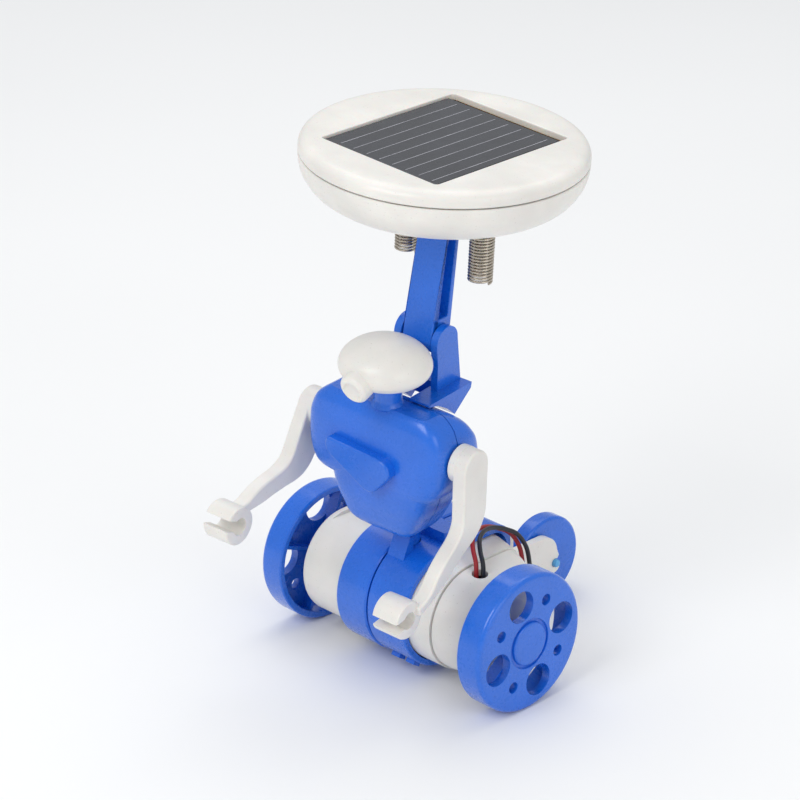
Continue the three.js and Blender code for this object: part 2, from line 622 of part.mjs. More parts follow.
// ---------------------------------------------------------------- arms
// Arm in its own frame: shoulder axis at the origin, drawn as it hangs low on the left side.
function armOutline() {
  const shape = new THREE.Shape();
  shape.moveTo(4.4, 0);
  shape.absarc(0, 0, 4.4, 0, Math.PI, false);
  shape.lineTo(-3.8, -12.4);
  shape.quadraticCurveTo(-3.9, -15.6, -7.6, -18.2);
  shape.quadraticCurveTo(-12, -21.6, -14, -25.2);
  shape.quadraticCurveTo(-15.9, -27.4, -18.9, -28);
  shape.lineTo(-18.3, -30.4);
  shape.quadraticCurveTo(-13.1, -28.2, -7.8, -24.4);
  shape.quadraticCurveTo(-4, -21.2, 0.6, -18.4);
  shape.quadraticCurveTo(4.5, -15.8, 4.7, -10.8);
  return shape;
}

const HAND_Y = -20.9;
const HAND_Z = -30.6;
const HAND_R = 4.5;
const HAND_BORE_R = 2.1;
const SLOT_DROOP = 8;              // degrees below level

function armBody() {
  const bar = plateX(armOutline(), ARM_IN_X, ARM_OUT_X, 0.7, 4);
  const boss = rodX(18, ARM_IN_X + 0.4, 4.5, 18);
  const pin = rodX(14.4, 18.6, ARM_PIN_R);
  const head = rodX(13, 14.5, ARM_PIN_R + 0.9);
  const hand = turnX([[14.8, 0], [14.8, HAND_R], [21.6, HAND_R], [22, HAND_R - 0.4], [22, 0]], 18);
  const slot = block(14, 24, -8, 0, -1.3, 1.3);
  const clear = moved(rodX(14, 24, HAND_BORE_R), 0, HAND_Y, HAND_Z);
  const grip = cut(moved(cut(hand, slot.rotate([SLOT_DROOP, 0, 0])), 0, HAND_Y, HAND_Z), clear);
  return join(cut(bar, clear), boss, pin, head, grip);
}

function arms() {
  const make = (name, angle, flip) => {
    const body = spunX(armBody(), angle);
    const side = flip ? moved(body.mirror([1, 0, 0]), 2 * TORSO_X, 0, 0) : body;
    const mesh = piece(name, WHITE, side);
    mesh.position.set(0, SHOULDER_Y, SHOULDER_Z);
    return mesh;
  };
  return [make('arm_left', ARM_LOW_ANGLE, false), make('arm_right', ARM_HIGH_ANGLE, true)];
}

// ---------------------------------------------------------------- panel bracket and post
function clevis() {
  const foot = TORSO_TOP_Z + GAP;
  const sole = outline([
    [-7.2, foot + 0.1], [-4, foot - 0.5], [-0.4, foot - 2.5], [2.6, foot - 5], [8.3, foot - 0.3],
    [8.5, foot + 1.1], [-7.2, foot + 0.6],
  ]);
  const bridge = plateX(outline([
    [2.6, foot - 3], [3.6, foot - 3.6], [8.3, foot - 0.3], [8.5, foot + 1.1], [2.6, foot + 0.9],
  ]), -4, 4);
  const base = join(plateX(sole, FOOT_IN, FOOT_OUT), plateX(sole, -FOOT_OUT, -FOOT_IN), bridge);
  const ear = new THREE.Shape();
  ear.moveTo(-0.5, foot + 0.4);
  ear.lineTo(-0.7, PIVOT_Z - 5);
  ear.lineTo(PIVOT_Y - 3.8, PIVOT_Z);
  ear.absarc(PIVOT_Y, PIVOT_Z, 3.8, Math.PI, 0, true);
  ear.lineTo(8.2, foot + 0.6);
  const bore = moved(rodX(-PIN_HALF - 0.2, PIN_HALF + 0.2, PIN_R + 0.1), 0, PIVOT_Y, PIVOT_Z);
  return cut(join(base, plateX(ear, EAR_IN, EAR_OUT, 0, 6), plateX(ear, -EAR_OUT, -EAR_IN, 0, 6)), bore);
}

function post() {
  const top = DISC_BOTTOM_Z - GAP;
  const side = new THREE.Shape();
  side.moveTo(PIVOT_Y - 3.5, PIVOT_Z);
  side.lineTo(DISC_Y - 1.7, top);
  side.lineTo(DISC_Y + 2.4, top);
  side.lineTo(PIVOT_Y + 3.5, PIVOT_Z);
  side.absarc(PIVOT_Y, PIVOT_Z, 3.5, 0, -Math.PI, true);
  const channel = outline([
    [PIVOT_Y - 2.5, PIVOT_Z + 5], [DISC_Y - 0.7, top - 2], [DISC_Y + 1.4, top - 2], [PIVOT_Y + 2.5, PIVOT_Z + 5],
  ]);
  const body = cut(
    plateX(side, -POST_HALF_W, POST_HALF_W, 0, 6),
    plateX(channel, 1.2, POST_HALF_W + 1), plateX(channel, -POST_HALF_W - 1, -1.2),
    moved(rodX(-12, 12, PIN_R + 0.1), 0, PIVOT_Y, PIVOT_Z));
  return join(body, moved(rodZ(top - 1, DISC_BOTTOM_Z + 3.4, PLUG_R), 0, DISC_Y, 0));
}

function clevisPin() {
  return moved(rodX(-PIN_HALF, PIN_HALF, PIN_R), 0, PIVOT_Y, PIVOT_Z);
}

// ---------------------------------------------------------------- solar head
function dish() {
  const floor = DISC_BOTTOM_Z;
  const shell = turnZ([
    [floor, 0], [floor, 15], [floor + 1.1, 24.5], [floor + 3.3, 29], [floor + 6.3, 31.4],
    [floor + 8.8, 32.3], [DISC_SEAM_Z - 0.15, DISC_R], [DISC_SEAM_Z - 0.15, DISC_R - 2],
    [floor + 6.6, 29.4], [floor + 4.2, 26.6], [floor + 2.2, 15], [floor + 2, 0],
  ], 40);
  const collar = (x) => moved(
    turnZ([[floor - 3.4, 0], [floor - 3.4, 3.8], [floor - 1, 4.1], [floor + 1, 4.4], [floor + 1, 0]], 16),
    x, SPRING_BACK, 0);
  const well = (x) => moved(rodZ(floor - 5, floor + 4, SPRING_R + 0.2, 16), x, SPRING_BACK, 0);
  const socket = rodZ(floor - 1, floor + 4, PLUG_R + 0.15);
  return cut(join(shell, collar(-SPRING_SPAN), collar(SPRING_SPAN)), well(-SPRING_SPAN), well(SPRING_SPAN), socket);
}

function topShell() {
  const r = DISC_R;
  const shell = turnZ([
    [DISC_SEAM_Z + 0.15, r], [DISC_TOP_Z - 1.4, r - 0.2], [DISC_TOP_Z - 0.4, r - 0.9],
    [DISC_TOP_Z, r - 2.4], [DISC_TOP_Z, 0], [DISC_TOP_Z - 1.6, 0],
    [DISC_TOP_Z - 1.6, r - 3.4], [DISC_SEAM_Z + 0.15, r - 2], [DISC_SEAM_Z + 0.15, r],
  ], 40);
  const window = block(-WINDOW_X / 2, WINDOW_X / 2, -WINDOW_Y / 2, WINDOW_Y / 2, DISC_TOP_Z - 4, DISC_TOP_Z + 2);
  return cut(shell, window);
}

function solarHead() {
  const cellTop = DISC_TOP_Z - 0.6;
  const half = [WINDOW_X / 2, WINDOW_Y / 2];
  const boardTop = DISC_TOP_Z - 1.6 - GAP;
  const board = block(-half[0] - 1.2, half[0] + 1.2, -half[1] - 0.9, half[1] + 0.9, boardTop - 1, boardTop);
  const cell = block(-half[0] + 0.3, half[0] - 1.1, -half[1] + 0.3, half[1] - 1.8, boardTop + 0.1, cellTop);
  const spring = rodZ(SPRING_FOOT_Z, DISC_BOTTOM_Z + 1.6, SPRING_R, 16);
  const group = new THREE.Group();
  group.add(piece('solar_dish', WHITE, dish()));
  group.add(piece('solar_top_shell', WHITE, topShell()));
  group.add(piece('solar_cell_board', BOARD, board));
  group.add(piece('solar_cell', CELL, cell));
  for (const [name, x] of [['right', -SPRING_SPAN], ['left', SPRING_SPAN]]) {
    group.add(piece(`spring_terminal_${name}`, NICKEL, moved(spring, x, SPRING_BACK, 0)));
    group.add(piece(`terminal_screw_${name}`, STEEL,
      moved(rodZ(DISC_BOTTOM_Z + 1.9, DISC_BOTTOM_Z + 4.4, 1.6), x, SPRING_BACK, 0)));
  }
  group.position.y = DISC_Y;
  group.rotation.z = -TURN + THREE.MathUtils.degToRad(1);
  return group;
}

// ---------------------------------------------------------------- assembly
function upperBody() {
  const lean = new THREE.Group();
  const turn = new THREE.Group();
  lean.position.copy(WAIST);
  lean.rotation.y = LEAN;
  turn.rotation.z = TURN;
  lean.add(turn);
  turn.add(...torso(), head(), ...arms());
  turn.add(piece('clevis_bracket', BLUE, clevis()));
  turn.add(piece('clevis_pin', STEEL, clevisPin()));
  turn.add(piece('panel_post', BLUE, post()));
  turn.add(solarHead());
  return lean;
}

function chassis() {
  const group = new THREE.Group();
  group.add(...wheels(), ...chassisTrim(), ...motor(), ...gearTrain(), ...tailScrews());
  group.add(piece('housing_left', WHITE, housingLeft()));
  group.add(piece('housing_right', WHITE, housingRight()));
  group.add(piece('housing_end_cap', WHITE, housingCap()));
  group.add(piece('ring_clamp_left', BLUE, ringLeft()));
  group.add(piece('ring_clamp_right', BLUE, ringRight()));
  group.add(piece('tail_arm', WHITE, tailArm()));
  group.add(piece('rear_wheel', BLUE, rearWheel()));
  group.add(piece('rear_axle', BLUE, rearAxle()));
  group.add(lead('lead_red', RED, RED_ROUTE));
  group.add(lead('lead_black', BLACK, BLACK_ROUTE));
  group.add(tip('lead_tip_red', RED_ROUTE), tip('lead_tip_black', BLACK_ROUTE));
  return group;
}

const robot = new THREE.Group();
robot.name = 'two_wheel_robot';
robot.add(chassis(), upperBody());

// The origin is the middle of the overall box, on the ground.
const overall = new THREE.Box3().setFromObject(robot, true);
const middle = overall.getCenter(new THREE.Vector3());
robot.position.set(-middle.x, -middle.y, -overall.min.z);

export default robot;
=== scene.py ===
import json
import math
import bmesh
import bpy
from mathutils import Matrix, Vector


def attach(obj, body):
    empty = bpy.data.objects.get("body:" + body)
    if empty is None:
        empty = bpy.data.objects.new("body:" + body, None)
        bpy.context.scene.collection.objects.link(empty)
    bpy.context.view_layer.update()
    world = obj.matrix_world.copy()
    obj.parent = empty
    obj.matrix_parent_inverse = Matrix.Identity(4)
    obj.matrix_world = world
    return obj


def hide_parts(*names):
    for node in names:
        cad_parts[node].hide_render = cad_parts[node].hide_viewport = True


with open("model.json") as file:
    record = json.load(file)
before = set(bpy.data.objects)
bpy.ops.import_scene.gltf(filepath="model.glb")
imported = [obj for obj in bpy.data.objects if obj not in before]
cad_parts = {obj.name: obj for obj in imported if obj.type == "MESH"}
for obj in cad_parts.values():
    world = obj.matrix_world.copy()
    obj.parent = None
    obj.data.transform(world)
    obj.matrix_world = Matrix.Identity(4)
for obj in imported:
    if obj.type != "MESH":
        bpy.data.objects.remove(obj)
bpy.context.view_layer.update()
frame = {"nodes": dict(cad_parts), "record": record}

MM = 0.001
GAP = 0.3
JOINTS = {j["name"]: j for j in frame["record"]["behaviour"]["joints"]}

# ---------------------------------------------------------------- shared places (millimetres)
WHEEL_R = 17
ORIGIN = Vector(JOINTS["drive_spin"]["pos_m"]) / MM - Vector((0, 0, WHEEL_R))
UP_X = -Vector(JOINTS["left_arm_swing"]["axis"])
UP_Z = Vector(JOINTS["waist_turn"]["axis"])
WAIST = Vector(JOINTS["waist_turn"]["pos_m"]) / MM


def basis(x, z, origin):
    y = z.cross(x).normalized()
    return Matrix.Translation(origin) @ Matrix((x, y, z)).transposed().to_4x4()


CHASSIS = Matrix.Translation(ORIGIN)
UPPER = basis(UP_X, UP_Z, WAIST)
TURN = math.radians(7)
PANEL_SKEW = math.radians(1)
SHOULDER = (0, -6.8, 31.2)
TORSO_X = -1.5
ARM_PIN_R = 1.6
HIGH_ARM = math.radians(-29)
LEFT_ARM = UPPER @ Matrix.Translation(SHOULDER)
RIGHT_ARM = (LEFT_ARM @ Matrix.Rotation(HIGH_ARM, 4, "X") @ Matrix.Translation((2 * TORSO_X, 0, 0))
             @ Matrix.Diagonal((-1, 1, 1, 1)))
DISC_Y = 5.8
PANEL = UPPER @ Matrix.Translation((0, DISC_Y, 0)) @ Matrix.Rotation(-TURN + PANEL_SKEW, 4, "Z")

# ---------------------------------------------------------------- camera
LENS = 141.44
SENSOR = 36
CAMERA_AT = ORIGIN + Vector((465.81, -465.30, 359.42))
CAMERA_TO = ORIGIN + Vector((0, -5.86, 68.23))


def make_camera():
    data = bpy.data.cameras.new("camera")
    data.lens = LENS
    data.sensor_width = SENSOR
    data.clip_start = 0.01
    camera = bpy.data.objects.new("camera", data)
    camera.location = CAMERA_AT * MM
    camera.rotation_euler = (CAMERA_TO - CAMERA_AT).to_track_quat("-Z", "Y").to_euler()
    bpy.context.scene.collection.objects.link(camera)
    bpy.context.scene.camera = camera


make_camera()


# ---------------------------------------------------------------- materials
def node_material(name, roughness, metallic=0.0):
    mat = bpy.data.materials.new(name)
    mat.use_nodes = True
    shader = mat.node_tree.nodes["Principled BSDF"]
    shader.inputs["Roughness"].default_value = roughness
    shader.inputs["Metallic"].default_value = metallic
    return mat, mat.node_tree, shader


def noise(tree, scale, detail=3.0, rough=0.5):
    coords = tree.nodes.new("ShaderNodeTexCoord")
    tex = tree.nodes.new("ShaderNodeTexNoise")
    tex.inputs["Scale"].default_value = scale
    tex.inputs["Detail"].default_value = detail
    tex.inputs["Roughness"].default_value = rough
    tree.links.new(coords.outputs["Object"], tex.inputs["Vector"])
    return tex.outputs["Fac"]


def ramp(tree, fac, stops):
    node = tree.nodes.new("ShaderNodeValToRGB")
    elements = node.color_ramp.elements
    while len(elements) < len(stops):
        elements.new(0.5)
    for element, (position, color) in zip(elements, stops):
        element.position = position
        element.color = (*color, 1)
    tree.links.new(fac, node.inputs["Fac"])
    return node.outputs["Color"]


def span(tree, fac, low, high):
    node = tree.nodes.new("ShaderNodeMapRange")
    node.inputs["From Min"].default_value = 0.3
    node.inputs["From Max"].default_value = 0.7
    node.inputs["To Min"].default_value = low
    node.inputs["To Max"].default_value = high
    tree.links.new(fac, node.inputs["Value"])
    return node.outputs["Result"]


def add_bump(tree, shader, layers):
    normal = None
    for fac, strength, distance in layers:
        bump = tree.nodes.new("ShaderNodeBump")
        bump.inputs["Strength"].default_value = strength
        bump.inputs["Distance"].default_value = distance
        tree.links.new(fac, bump.inputs["Height"])
        if normal is not None:
            tree.links.new(normal, bump.inputs["Normal"])
        normal = bump.outputs["Normal"]
    tree.links.new(normal, shader.inputs["Normal"])


def scaled(color, factor):
    return tuple(min(1.0, c * factor) for c in color)


def moulded(name, color, roughness, coat=0.0, subsurface=0.0, dust=1.0):
    """Injection moulded plastic: soft flow mottle, faint orange peel, fine scuffs in the gloss."""
    mat, tree, shader = node_material(name, roughness)
    flow = noise(tree, 90, 4)
    tone = ramp(tree, flow, [(0.3, scaled(color, 0.93)), (0.55, color), (0.75, scaled(color, 1.07))])
    specks = noise(tree, 2600, 2)
    soot = ramp(tree, specks, [(0.24, scaled(color, 1 - 0.28 * dust)), (0.31, (1, 1, 1))])
    mix = tree.nodes.new("ShaderNodeMix")
    mix.data_type = "RGBA"
    mix.blend_type = "MULTIPLY"
    mix.inputs[0].default_value = 1.0
    tree.links.new(tone, mix.inputs[6])
    tree.links.new(soot, mix.inputs[7])
    tree.links.new(mix.outputs[2], shader.inputs["Base Color"])
    scuffs = noise(tree, 420, 6, 0.7)
    tree.links.new(span(tree, scuffs, roughness - 0.05, roughness + 0.09), shader.inputs["Roughness"])
    add_bump(tree, shader, [(noise(tree, 240, 2), 0.10, 0.0002), (noise(tree, 1700, 3), 0.05, 0.00006)])
    shader.inputs["Coat Weight"].default_value = coat
    shader.inputs["Coat Roughness"].default_value = 0.12
    shader.inputs["Subsurface Weight"].default_value = subsurface
    shader.inputs["Subsurface Scale"].default_value = 0.0015
    return mat


def brushed(name, color, roughness, grain=700):
    mat, tree, shader = node_material(name, roughness, 1.0)
    streak = noise(tree, grain, 5, 0.7)
    stain = noise(tree, 160, 3)
    tree.links.new(ramp(tree, stain, [(0.3, scaled(color, 0.78)), (0.7, scaled(color, 1.1))]),
                   shader.inputs["Base Color"])
    tree.links.new(span(tree, streak, roughness - 0.08, roughness + 0.14), shader.inputs["Roughness"])
    add_bump(tree, shader, [(streak, 0.12, 0.00005)])
    return mat


def cell_silicon():
    """Dark blue black silicon under clear resin, with a slow crystalline drift in the colour."""
    mat, tree, shader = node_material("cell_silicon", 0.3)
    drift = noise(tree, 70, 5, 0.6)
    tree.links.new(ramp(tree, drift, [(0.3, (0.006, 0.007, 0.013)), (0.6, (0.012, 0.014, 0.024)),
                                      (0.8, (0.022, 0.024, 0.036))]), shader.inputs["Base Color"])
    tree.links.new(span(tree, noise(tree, 500, 4), 0.2, 0.4), shader.inputs["Roughness"])
    add_bump(tree, shader, [(noise(tree, 900, 3), 0.08, 0.00005)])
    shader.inputs["Coat Weight"].default_value = 0.35
    shader.inputs["Coat Roughness"].default_value = 0.2
    return mat


BLUE = moulded("blue_moulding", (0.006, 0.135, 0.68), 0.26, coat=0.35, dust=0.6)
BLUE_TIP = moulded("pale_blue_nub", (0.10, 0.42, 0.78), 0.34, coat=0.2, dust=0.5)
WHITE = moulded("white_moulding", (0.80, 0.775, 0.73), 0.36, coat=0.15, subsurface=0.12, dust=0.35)
ACETAL = moulded("acetal", (0.82, 0.80, 0.74), 0.42, subsurface=0.1, dust=0.2)
RED = moulded("red_insulation", (0.36, 0.012, 0.016), 0.42, dust=0.4)
BLACK = moulded("black_insulation", (0.012, 0.012, 0.02), 0.4, dust=0.2)
BOARD = moulded("board_laminate", (0.42, 0.25, 0.055), 0.38, coat=0.3, dust=1.0)
STEEL = brushed("plated_steel", (0.62, 0.60, 0.57), 0.3)
NICKEL = brushed("nickel_wire", (0.56, 0.50, 0.42), 0.26, grain=1400)
BRASS = brushed("brass", (0.70, 0.48, 0.20), 0.3)
COPPER = brushed("tinned_copper", (0.66, 0.47, 0.30), 0.36, grain=2400)
FINGER = brushed("cell_finger", (0.50, 0.50, 0.54), 0.45)
SILICON = cell_silicon()


# ---------------------------------------------------------------- shapes, in millimetres
def mesh_object(verts, faces):
    mesh = bpy.data.meshes.new("shape")
    mesh.from_pydata([tuple(v) for v in verts], [], faces)
    bm = bmesh.new()
    bm.from_mesh(mesh)
    bmesh.ops.remove_doubles(bm, verts=bm.verts, dist=1e-5)
    bmesh.ops.recalc_face_normals(bm, faces=bm.faces)
    bm.to_mesh(mesh)
    bm.free()
    obj = bpy.data.objects.new("shape", mesh)
    bpy.context.scene.collection.objects.link(obj)
    return obj


def lathe(profile, segments=96, axis="X", closed=False):
    """Turned solid from (along, radius) rows; ends on the axis, or closes on itself."""
    verts, rings = [], []
    for along, radius in profile:
        start = len(verts)
        count = 1 if radius < 1e-6 else segments
        for i in range(count):
            a = 2 * math.pi * i / segments
            c, s = radius * math.cos(a), radius * math.sin(a)
            verts.append((along, c, s) if axis == "X" else (c, s, along))
        rings.append(list(range(start, start + count)))
    pairs = list(zip(rings, rings[1:] + rings[:1])) if closed else list(zip(rings, rings[1:]))
    faces = []
    for low, high in pairs:
        if len(low) == 1 and len(high) == 1:
            continue
        for i in range(segments):
            j = (i + 1) % segments
            if len(low) == 1:
                faces.append((low[0], high[i], high[j]))
            elif len(high) == 1:
                faces.append((low[i], low[j], high[0]))
            else:
                faces.append((low[i], low[j], high[j], high[i]))
    return mesh_object(verts, faces)


def loft(rings):
    count = len(rings[0])
    verts = [p for ring in rings for p in ring]
    faces = [tuple(range(count)), tuple(range(len(verts) - count, len(verts)))]
    for level in range(len(rings) - 1):
        a, b = level * count, (level + 1) * count
        for i in range(count):
            j = (i + 1) % count
            faces.append((a + i, a + j, b + j, b + i))
    return mesh_object(verts, faces)


def prism(outline, low, high, axis="X"):
    """An outline in (y, z) along X, in (x, z) along Y, or in (x, y) along Z."""
    place = {"X": lambda u, v, w: (w, u, v), "Y": lambda u, v, w: (u, w, v), "Z": lambda u, v, w: (u, v, w)}
    put = place[axis]
    return loft([[put(u, v, w) for u, v in outline] for w in (low, high)])


def box(x0, x1, y0, y1, z0, z1):
    return prism([(x0, y0), (x1, y0), (x1, y1), (x0, y1)], z0, z1, "Z")


def rod(low, high, radius, axis="X", segments=48):
    return lathe([(low, 0), (low, radius), (high, radius), (high, 0)], segments, axis)


def arc(cu, cv, radius, start, end, steps):
    points = []
    for i in range(steps + 1):
        a = start + (end - start) * i / steps
        points.append((cu + radius * math.cos(a), cv + radius * math.sin(a)))
    return points


def bend(p0, p1, p2, steps=10):
    """Quadratic curve, without its first point."""
    points = []
    for i in range(1, steps + 1):
        t = i / steps
        points.append(tuple((1 - t) ** 2 * a + 2 * t * (1 - t) * b + t * t * c
                            for a, b, c in zip(p0, p1, p2)))
    return points


def dense(rows, steps):
    """Catmull-Rom rows between the given rows."""
    out = []
    for i in range(len(rows) - 1):
        p0, p1, p2, p3 = rows[max(i - 1, 0)], rows[i], rows[i + 1], rows[min(i + 2, len(rows) - 1)]
        for k in range(steps):
            t = k / steps
            out.append(tuple(
                0.5 * (2 * b + (c - a) * t + (2 * a - 5 * b + 4 * c - d) * t * t
                       + (3 * b - a - 3 * c + d) * t ** 3)
                for a, b, c, d in zip(p0, p1, p2, p3)))
    return out + [tuple(rows[-1])]


def turned(obj, matrix):
    obj.data.transform(matrix)
    if matrix.determinant() < 0:
        obj.data.flip_normals()
    return obj


def shifted(obj, x, y, z):
    return turned(obj, Matrix.Translation((x, y, z)))


def spun(obj, radians, axis="X"):
    return turned(obj, Matrix.Rotation(radians, 4, axis))


def baked(obj):
    graph = bpy.context.evaluated_depsgraph_get()
    mesh = bpy.data.meshes.new_from_object(obj.evaluated_get(graph))
    old = obj.data
    obj.modifiers.clear()
    obj.data = mesh
    bpy.data.meshes.remove(old)
    return obj


def combine(obj, others, operation):
    for other in others:
        mod = obj.modifiers.new("boolean", "BOOLEAN")
        mod.operation = operation
        mod.solver = "EXACT"
        mod.object = other
    baked(obj)
    for other in others:
        bpy.data.objects.remove(other)
    return obj


def cut(obj, *others):
    return combine(obj, others, "DIFFERENCE")


def join(obj, *others):
    return combine(obj, others, "UNION")


def softened(obj, width, segments=3, angle=28):
    """Rounds every edge sharper than `angle` degrees."""
    bm = bmesh.new()
    bm.from_mesh(obj.data)
    bmesh.ops.remove_doubles(bm, verts=bm.verts, dist=1e-4)
    bmesh.ops.dissolve_limit(bm, angle_limit=math.radians(0.4), verts=bm.verts, edges=bm.edges)
    bm.to_mesh(obj.data)
    bm.free()
    mod = obj.modifiers.new("bevel", "BEVEL")
    mod.width = width
    mod.segments = segments
    mod.limit_method = "ANGLE"
    mod.angle_limit = math.radians(angle)
    mod.use_clamp_overlap = True
    mod.miter_outer = "MITER_ARC"
    return baked(obj)


def placed(obj, name, matrix, body, material, nodes=(), sharp=35):
    turned(obj, Matrix.Scale(MM, 4) @ matrix)
    obj.name = name
    obj.data.name = name
    for poly in obj.data.polygons:
        poly.use_smooth = True
    obj.data.set_sharp_from_angle(angle=math.radians(sharp))
    mod = obj.modifiers.new("normals", "WEIGHTED_NORMAL")
    mod.keep_sharp = True
    mod.weight = 80
    baked(obj)
    obj.data.materials.clear()
    obj.data.materials.append(material)
    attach(obj, body)
    if nodes:
        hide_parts(*nodes)
    return obj


# ---------------------------------------------------------------- leads, first of all pieces
LEAD_R = 0.55
LEAD_HOLE = (20.8, -0.6)
LEAD_HOLE_R = 1.9
LEAD_ROUTE = [
    (20.8, -0.6, 24.5), (20.8, -0.6, 29), (20, 0, 31.8), (17.6, 1.6, 33.4), (15.6, 3.4, 34.8),
    (13.9, 6, 35.2), (12.6, 9.2, 34.8), (12, 12.6, 33.8), (12.2, 16, 32.2), (12.8, 19.2, 30),
    (13.6, 21.4, 26.2), (14.2, 22, 22), (14.6, 22.2, 17.5), (15, 22.8, 13), (15.4, 24.4, 9.6)]
LEAD_OFFSET = Vector((0.75, 0.4, 0))
RED_ROUTE = [tuple(Vector(p) - LEAD_OFFSET) for p in LEAD_ROUTE]
BLACK_ROUTE = [tuple(Vector(p) + LEAD_OFFSET) for p in LEAD_ROUTE]


def make_lead(name, node, route, material):
    points = [(Vector(p) + ORIGIN) * MM for p in dense(route, 6)]
    curve = bpy.data.curves.new(name, "CURVE")
    curve.dimensions = "3D"
    curve.bevel_depth = LEAD_R * MM
    curve.bevel_resolution = 4
    curve.use_fill_caps = True
    spline = curve.splines.new("POLY")
    spline.points.add(len(points) - 1)
    for target, point in zip(spline.points, points):
        target.co = (*point, 1)
    curve.materials.append(material)
    obj = bpy.data.objects.new(name, curve)
    bpy.context.scene.collection.objects.link(obj)
    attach(obj, "chassis")
    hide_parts(node)


make_lead("red_lead", "lead_red", RED_ROUTE, RED)
make_lead("black_lead", "lead_black", BLACK_ROUTE, BLACK)


# ---------------------------------------------------------------- drive wheels
FACE_X = 36.25
QUARTER = math.pi / 2
HOLE_CIRCLE_R = 10.8
HOLE_R = 3.9
SMALL_HOLE_R = 1.4
RIB_OFFSET = math.radians(21)
LEFT_PHASE = math.radians(16)
AXLE_BORE_R = 1.25


def wheel_shape(phase):
    f = FACE_X
    blank = lathe([
        (f + 0.25, 0), (f + 0.25, 4.7), (f + 0.18, 5.0), (f, 5.2), (f - 0.6, 5.3), (f - 0.7, 5.45),
        (f - 0.7, 5.95), (f - 0.6, 6.1), (f - 0.12, 6.15), (f, 6.3), (f, 15.4),
        *[(f - 1.3 + 1.3 * math.cos(a), 15.7 + 1.3 * math.sin(a)) for a in (0.3, 0.6, 0.9, 1.2, 1.5708)],
        (f - 6.6, 17), (f - 6.9, 16.7), (f - 6.9, 15.6), (f - 6.7, 15.4), (f - 2.5, 15.2), (f - 2.2, 14.9),
        (f - 2.2, 3.9), (f - 2.5, 3.5), (f - 6.1, 3.2), (f - 6.2, 3.0), (f - 6.2, 1.25), (f - 1.4, 1.25),
        (f - 1.4, 0)], 128)
    tools = []
    for i in range(4):
        for angle, radius in ((phase + i * QUARTER, HOLE_R), (phase + (i + 0.5) * QUARTER, SMALL_HOLE_R)):
            y, z = HOLE_CIRCLE_R * math.cos(angle), HOLE_CIRCLE_R * math.sin(angle)
            tools.append(shifted(rod(f - 4, f + 2, radius), 0, y, z))
    wheel = cut(blank, *tools)
    ribs = [spun(box(f - 5.2, f - 2, 3.2, 15.5, -0.45, 0.45), phase + i * QUARTER + RIB_OFFSET)
            for i in range(4)]
    return softened(join(wheel, *ribs), 0.22, 2)


def make_wheels():
    axle = Matrix.Translation((0, 0, WHEEL_R))
    placed(wheel_shape(LEFT_PHASE), "left_wheel", CHASSIS @ axle, "drive", BLUE,
           ["wheel_left"])
    back = axle @ Matrix.Rotation(math.pi, 4, "Z")
    placed(wheel_shape(0), "right_wheel", CHASSIS @ back, "drive", BLUE, ["wheel_right"])


make_wheels()

# ---------------------------------------------------------------- gear housing
BARREL_R = 13.2
BARREL_BACK = 19.5


def housing_ring(x, r, back, corner=5):
    section = arc(0, 0, r, QUARTER, 3 * QUARTER, 64)
    section += arc(back - corner, corner - r, corner, -QUARTER, 0, 14)
    section += arc(back - corner, r - corner, corner, 0, QUARTER, 14)
    return [(x, y, z) for y, z in section]


def housing(rows):
    return loft([housing_ring(*row) for row in rows])


def make_housings():
    axle = CHASSIS @ Matrix.Translation((0, 0, WHEEL_R))
    e = -26
    left = housing([(e, 12.2, 18.5), (e + 0.15, 12.65, 18.95), (e + 0.5, 13.05, 19.35),
                    (e + 1, BARREL_R, BARREL_BACK), (-0.3, BARREL_R, BARREL_BACK)])
    left = cut(left, housing([(e + 1.6, 11.7, 18), (1, 11.7, 18)]), rod(e - 1, e + 3, AXLE_BORE_R),
               box(e + 2, e + 4.4, -6.5, 2.5, BARREL_R - 0.9, BARREL_R + 2), waist_well())
    placed(softened(left, 0.25), "left_barrel", axle, "chassis", WHITE,
           ["housing_left"])
    right = housing([(0.3, BARREL_R, BARREL_BACK), (5, BARREL_R, BARREL_BACK), (10, BARREL_R, 18.7),
                     (13.5, BARREL_R, 17.7), (16.9, BARREL_R, 16.6)])
    room = housing([(-1, 11.7, 18), (5, 11.7, 18), (10, 11.7, 17.2), (18, 11.7, 14.7)])
    right = cut(right, room, waist_well())
    placed(softened(right, 0.25), "right_barrel", axle, "chassis", WHITE,
           ["housing_right"])
    cap_rows = dense([(17.2, 12.7, 16.6), (20.2, 12.6, 15.4), (23, 12.2, 14), (25.4, 11, 12.2),
                      (27.1, 9, 9.5), (27.8, 7, 7.5)], 5)
    hollow = housing([(16.2, 11.1, 15), (20.2, 11, 13.8), (23, 10.6, 12.4), (26.4, 8, 8.6)])
    cap = cut(housing(cap_rows), hollow)
    boss = lathe([(25.8, 0), (25.8, 3.4), (27.7, 3.2), (28.3, 3), (28.55, 2.75), (28.6, 0)], 48)
    cap = cut(join(cap, boss), rod(23, 30, AXLE_BORE_R), shifted(rod(6, 16, LEAD_HOLE_R, "Z"), *LEAD_HOLE, 0))
    placed(softened(cap, 0.22), "end_cap", axle, "chassis", WHITE, ["housing_end_cap"])


def waist_well(radius=3.9, low=-5, high=4):
    """The hole for the waist post, drawn from the main axle."""
    tilt = (CHASSIS @ Matrix.Translation((0, 0, WHEEL_R))).inverted() @ UPPER
    return turned(rod(low, high, radius, "Z"), tilt)


def waist_hole():
    return waist_well(2.8, -5, 8)


